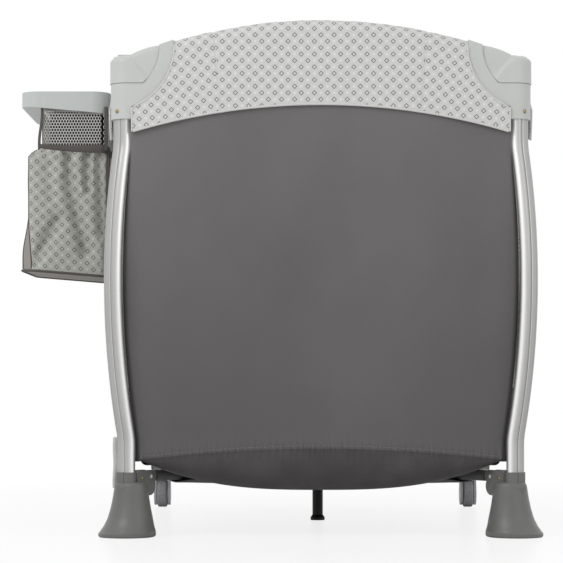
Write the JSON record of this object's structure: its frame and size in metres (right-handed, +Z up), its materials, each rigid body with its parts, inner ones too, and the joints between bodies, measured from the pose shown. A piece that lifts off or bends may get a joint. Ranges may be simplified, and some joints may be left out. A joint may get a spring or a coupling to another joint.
{
  "type": "travel play yard",
  "caption": "Folding travel play yard with bowed legs, printed top covers, dark end panels, net sides, a padded floor and a side tray with a hanging bag.",
  "frame": {"origin": "on the floor under the middle of the hub, at the foot of the centre leg", "axes": "+X to the right seen from the end with the bell feet, +Y along the long sides to the wheel end, +Z up"},
  "size_m": [0.86, 1.0196, 0.829],
  "materials": {
    "leg_metal": "satin",
    "corner_plastic": "satin",
    "dark_plastic": "matte",
    "wheel_plastic": "matte",
    "print_cloth": "matte",
    "rail_steel": "satin",
    "strut_steel": "satin",
    "net": "matte",
    "pin_brass": "satin",
    "black_plastic": "matte",
    "dark_cloth": "satin",
    "mattress_cloth": "matte",
    "tray_plastic": "satin"
  },
  "bodies": {
    "hub_frame": {"hub": "dark_plastic", "hub_handle": "dark_plastic", "hub_pins": "pin_brass", "centre_leg": "black_plastic", "rail_cover_front": "print_cloth", "rail_cover_rear": "print_cloth", "rail_cover_left": "print_cloth", "rail_cover_right": "print_cloth", "end_panel_front": "dark_cloth", "end_panel_rear": "dark_cloth", "mesh_side_left": "net", "mesh_side_right": "net", "floor_sling": "dark_cloth", "mattress": "mattress_cloth"},
    "strut_front_left": {"strut_front_left": "strut_steel"},
    "leg_front_left": {"leg_front_left": "leg_metal", "corner_bracket_front_left": "corner_plastic", "corner_cover_front_left": "corner_plastic", "foot_front_left": "dark_plastic", "pins_front_left": "pin_brass"},
    "strut_front_right": {"strut_front_right": "strut_steel"},
    "leg_front_right": {"leg_front_right": "leg_metal", "corner_bracket_front_right": "corner_plastic", "corner_cover_front_right": "corner_plastic", "foot_front_right": "dark_plastic", "pins_front_right": "pin_brass"},
    "strut_rear_left": {"strut_rear_left": "strut_steel"},
    "leg_rear_left": {"leg_rear_left": "leg_metal", "corner_bracket_rear_left": "corner_plastic", "corner_cover_rear_left": "corner_plastic", "wheel_fork_rear_left": "dark_plastic", "pins_rear_left": "pin_brass"},
    "strut_rear_right": {"strut_rear_right": "strut_steel"},
    "leg_rear_right": {"leg_rear_right": "leg_metal", "corner_bracket_rear_right": "corner_plastic", "corner_cover_rear_right": "corner_plastic", "wheel_fork_rear_right": "dark_plastic", "pins_rear_right": "pin_brass"},
    "rail_front_left": {"rail_front_left": "rail_steel"},
    "rail_left_front": {"rail_left_front": "rail_steel"},
    "rail_front_right": {"rail_front_right": "rail_steel"},
    "rail_right_front": {"rail_right_front": "rail_steel"},
    "rail_rear_left": {"rail_rear_left": "rail_steel"},
    "rail_left_rear": {"rail_left_rear": "rail_steel"},
    "rail_rear_right": {"rail_rear_right": "rail_steel"},
    "rail_right_rear": {"rail_right_rear": "rail_steel"},
    "latch_front": {"latch_front": "dark_plastic"},
    "button_front": {"button_front": "dark_plastic"},
    "latch_rear": {"latch_rear": "dark_plastic"},
    "button_rear": {"button_rear": "dark_plastic"},
    "latch_left": {"latch_left": "dark_plastic"},
    "button_left": {"button_left": "dark_plastic"},
    "latch_right": {"latch_right": "dark_plastic"},
    "button_right": {"button_right": "dark_plastic"},
    "wheel_rear_left": {"wheel_rear_left": "wheel_plastic"},
    "wheel_rear_right": {"wheel_rear_right": "wheel_plastic"},
    "organizer": {"organizer_tray": "tray_plastic", "organizer_net": "net", "organizer_bag": "print_cloth"}
  },
  "joints": [
    {"name": "fold", "type": "hinge", "parent": "leg_front_left", "child": "strut_front_left", "pos_m": [-0.281, -0.438, 0.097], "axis": [0.8621, -0.5068, 0], "range_deg": [0, 80], "deforming": ["rail_cover_front", "rail_cover_rear", "rail_cover_left", "rail_cover_right", "end_panel_front", "end_panel_rear", "mesh_side_left", "mesh_side_right", "floor_sling", "mattress"]},
    {"name": "hub_fold", "type": "hinge", "parent": "strut_front_left", "child": "hub_frame", "pos_m": [-0.057, -0.057, 0.097], "axis": [-0.8621, 0.5068, 0], "range_deg": [0, 80]},
    {"name": "strut_fold_front_right", "type": "hinge", "parent": "hub_frame", "child": "strut_front_right", "pos_m": [0.057, -0.057, 0.097], "axis": [0.8621, 0.5068, 0], "range_deg": [0, 80]},
    {"name": "leg_fold_front_right", "type": "hinge", "parent": "strut_front_right", "child": "leg_front_right", "pos_m": [0.281, -0.438, 0.097], "axis": [-0.8621, -0.5068, 0], "range_deg": [0, 80]},
    {"name": "strut_fold_rear_left", "type": "hinge", "parent": "hub_frame", "child": "strut_rear_left", "pos_m": [-0.057, 0.057, 0.097], "axis": [-0.8621, -0.5068, 0], "range_deg": [0, 80]},
    {"name": "leg_fold_rear_left", "type": "hinge", "parent": "strut_rear_left", "child": "leg_rear_left", "pos_m": [-0.281, 0.438, 0.097], "axis": [0.8621, 0.5068, 0], "range_deg": [0, 80]},
    {"name": "strut_fold_rear_right", "type": "hinge", "parent": "hub_frame", "child": "strut_rear_right", "pos_m": [0.057, 0.057, 0.097], "axis": [-0.8621, 0.5068, 0], "range_deg": [0, 80]},
    {"name": "leg_fold_rear_right", "type": "hinge", "parent": "strut_rear_right", "child": "leg_rear_right", "pos_m": [0.281, 0.438, 0.097], "axis": [0.8621, -0.5068, 0], "range_deg": [0, 80]},
    {"name": "rail_front_left_fold", "type": "hinge", "parent": "leg_front_left", "child": "rail_front_left", "pos_m": [-0.29, -0.476, 0.757], "axis": [0, 1, 0], "range_deg": [0, 80]},
    {"name": "rail_left_front_fold", "type": "hinge", "parent": "leg_front_left", "child": "rail_left_front", "pos_m": [-0.319, -0.447, 0.757], "axis": [-1, 0, 0], "range_deg": [0, 80]},
    {"name": "rail_front_right_fold", "type": "hinge", "parent": "leg_front_right", "child": "rail_front_right", "pos_m": [0.29, -0.476, 0.757], "axis": [0, -1, 0], "range_deg": [0, 80]},
    {"name": "rail_right_front_fold", "type": "hinge", "parent": "leg_front_right", "child": "rail_right_front", "pos_m": [0.319, -0.447, 0.757], "axis": [-1, 0, 0], "range_deg": [0, 80]},
    {"name": "rail_rear_left_fold", "type": "hinge", "parent": "leg_rear_left", "child": "rail_rear_left", "pos_m": [-0.29, 0.476, 0.757], "axis": [0, 1, 0], "range_deg": [0, 80]},
    {"name": "rail_left_rear_fold", "type": "hinge", "parent": "leg_rear_left", "child": "rail_left_rear", "pos_m": [-0.319, 0.447, 0.757], "axis": [1, 0, 0], "range_deg": [0, 80]},
    {"name": "rail_rear_right_fold", "type": "hinge", "parent": "leg_rear_right", "child": "rail_rear_right", "pos_m": [0.29, 0.476, 0.757], "axis": [0, -1, 0], "range_deg": [0, 80]},
    {"name": "rail_right_rear_fold", "type": "hinge", "parent": "leg_rear_right", "child": "rail_right_rear", "pos_m": [0.319, 0.447, 0.757], "axis": [1, 0, 0], "range_deg": [0, 80]},
    {"name": "latch_front_fold", "type": "hinge", "parent": "rail_front_left", "child": "latch_front", "pos_m": [-0.066, -0.476, 0.757], "axis": [0, -1, 0], "range_deg": [0, 80]},
    {"name": "button_front_press", "type": "slide", "parent": "latch_front", "child": "button_front", "axis": [0, 0, 1], "range_m": [0, 0.005], "stiffness_N_per_m": 400, "springref_m": -0.004},
    {"name": "latch_rear_fold", "type": "hinge", "parent": "rail_rear_left", "child": "latch_rear", "pos_m": [-0.066, 0.476, 0.757], "axis": [0, -1, 0], "range_deg": [0, 80]},
    {"name": "button_rear_press", "type": "slide", "parent": "latch_rear", "child": "button_rear", "axis": [0, 0, 1], "range_m": [0, 0.005], "stiffness_N_per_m": 400, "springref_m": -0.004},
    {"name": "latch_left_fold", "type": "hinge", "parent": "rail_left_front", "child": "latch_left", "pos_m": [-0.319, -0.066, 0.757], "axis": [1, 0, 0], "range_deg": [0, 80]},
    {"name": "button_left_press", "type": "slide", "parent": "latch_left", "child": "button_left", "axis": [0, 0, 1], "range_m": [0, 0.005], "stiffness_N_per_m": 400, "springref_m": -0.004},
    {"name": "latch_right_fold", "type": "hinge", "parent": "rail_right_front", "child": "latch_right", "pos_m": [0.319, -0.066, 0.757], "axis": [1, 0, 0], "range_deg": [0, 80]},
    {"name": "button_right_press", "type": "slide", "parent": "latch_right", "child": "button_right", "axis": [0, 0, 1], "range_m": [0, 0.005], "stiffness_N_per_m": 400, "springref_m": -0.004},
    {"name": "wheel_spin_rear_left", "type": "hinge", "parent": "leg_rear_left", "child": "wheel_rear_left", "pos_m": [-0.313, 0.47, 0.028], "axis": [1, 0, 0], "continuous": true},
    {"name": "wheel_spin_rear_right", "type": "hinge", "parent": "leg_rear_right", "child": "wheel_rear_right", "pos_m": [0.313, 0.47, 0.028], "axis": [1, 0, 0], "continuous": true},
    {"name": "organizer_lift", "type": "slide", "parent": "rail_left_front", "child": "organizer", "axis": [0, 0, 1], "range_m": [0, 0.025]}
  ],
  "couplings": [
    {"joint": "hub_fold", "follows": "fold", "ratio": 1},
    {"joint": "strut_fold_front_right", "follows": "fold", "ratio": 1},
    {"joint": "leg_fold_front_right", "follows": "fold", "ratio": 1},
    {"joint": "strut_fold_rear_left", "follows": "fold", "ratio": 1},
    {"joint": "leg_fold_rear_left", "follows": "fold", "ratio": 1},
    {"joint": "strut_fold_rear_right", "follows": "fold", "ratio": 1},
    {"joint": "leg_fold_rear_right", "follows": "fold", "ratio": 1},
    {"joint": "rail_front_left_fold", "follows": "fold", "ratio": 1},
    {"joint": "rail_left_front_fold", "follows": "fold", "ratio": 1},
    {"joint": "rail_front_right_fold", "follows": "fold", "ratio": 1},
    {"joint": "rail_right_front_fold", "follows": "fold", "ratio": 1},
    {"joint": "rail_rear_left_fold", "follows": "fold", "ratio": 1},
    {"joint": "rail_left_rear_fold", "follows": "fold", "ratio": 1},
    {"joint": "rail_rear_right_fold", "follows": "fold", "ratio": 1},
    {"joint": "rail_right_rear_fold", "follows": "fold", "ratio": 1},
    {"joint": "latch_front_fold", "follows": "fold", "ratio": 1},
    {"joint": "latch_rear_fold", "follows": "fold", "ratio": 1},
    {"joint": "latch_left_fold", "follows": "fold", "ratio": 1},
    {"joint": "latch_right_fold", "follows": "fold", "ratio": 1}
  ]
}
